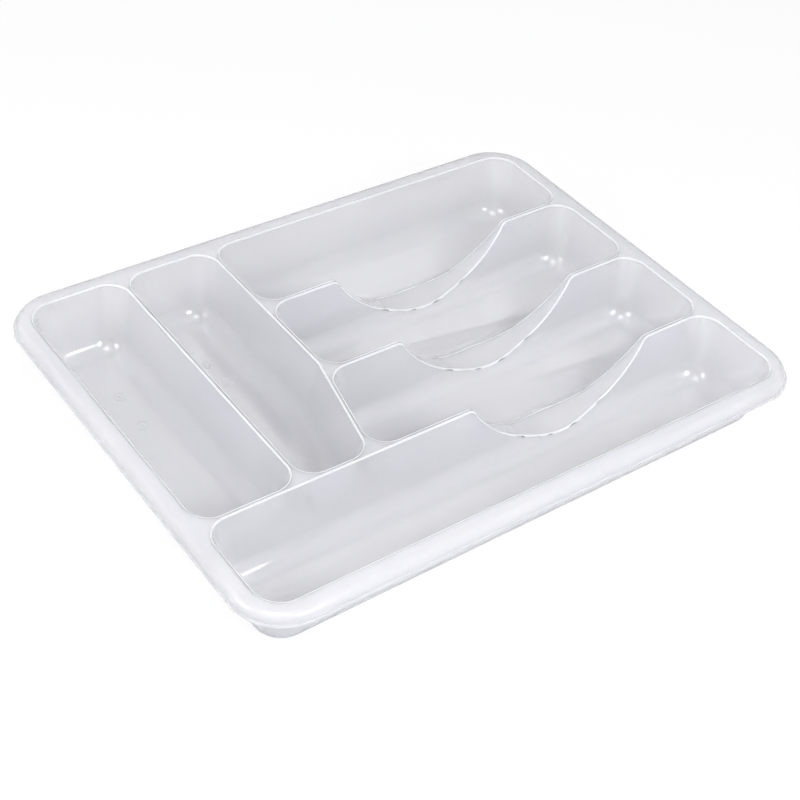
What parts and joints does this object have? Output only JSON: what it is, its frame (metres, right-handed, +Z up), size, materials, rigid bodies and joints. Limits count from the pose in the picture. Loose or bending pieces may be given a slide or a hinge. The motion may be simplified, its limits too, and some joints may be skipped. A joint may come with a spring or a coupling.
{
  "type": "cutlery tray",
  "caption": "Translucent drawer tray of thin moulded plastic with drafted wells for cutlery, hollow dividers, wide curved finger scoops and a rolled rim.",
  "frame": {"origin": "centre of the footprint at the level of the floors' underside", "axes": "+X along the tray's length towards the closed ends of the row wells, +Y towards the back side, +Z up out of the wells"},
  "size_m": [0.3986, 0.3046, 0.045],
  "materials": {
    "tray_plastic": "translucent milky clear polystyrene, smooth with a soft gloss"
  },
  "bodies": {
    "root": {"front_side": "tray_plastic", "back_side": "tray_plastic", "left_side": "tray_plastic", "right_side": "tray_plastic", "front_divider": "tray_plastic", "middle_divider": "tray_plastic", "back_divider": "tray_plastic", "side_divider": "tray_plastic", "row_end_divider": "tray_plastic", "utensil_floor": "tray_plastic", "outer_side_floor": "tray_plastic", "inner_side_floor": "tray_plastic", "front_row_floor": "tray_plastic", "middle_row_floor": "tray_plastic", "back_row_floor": "tray_plastic"}
  },
  "joints": []
}
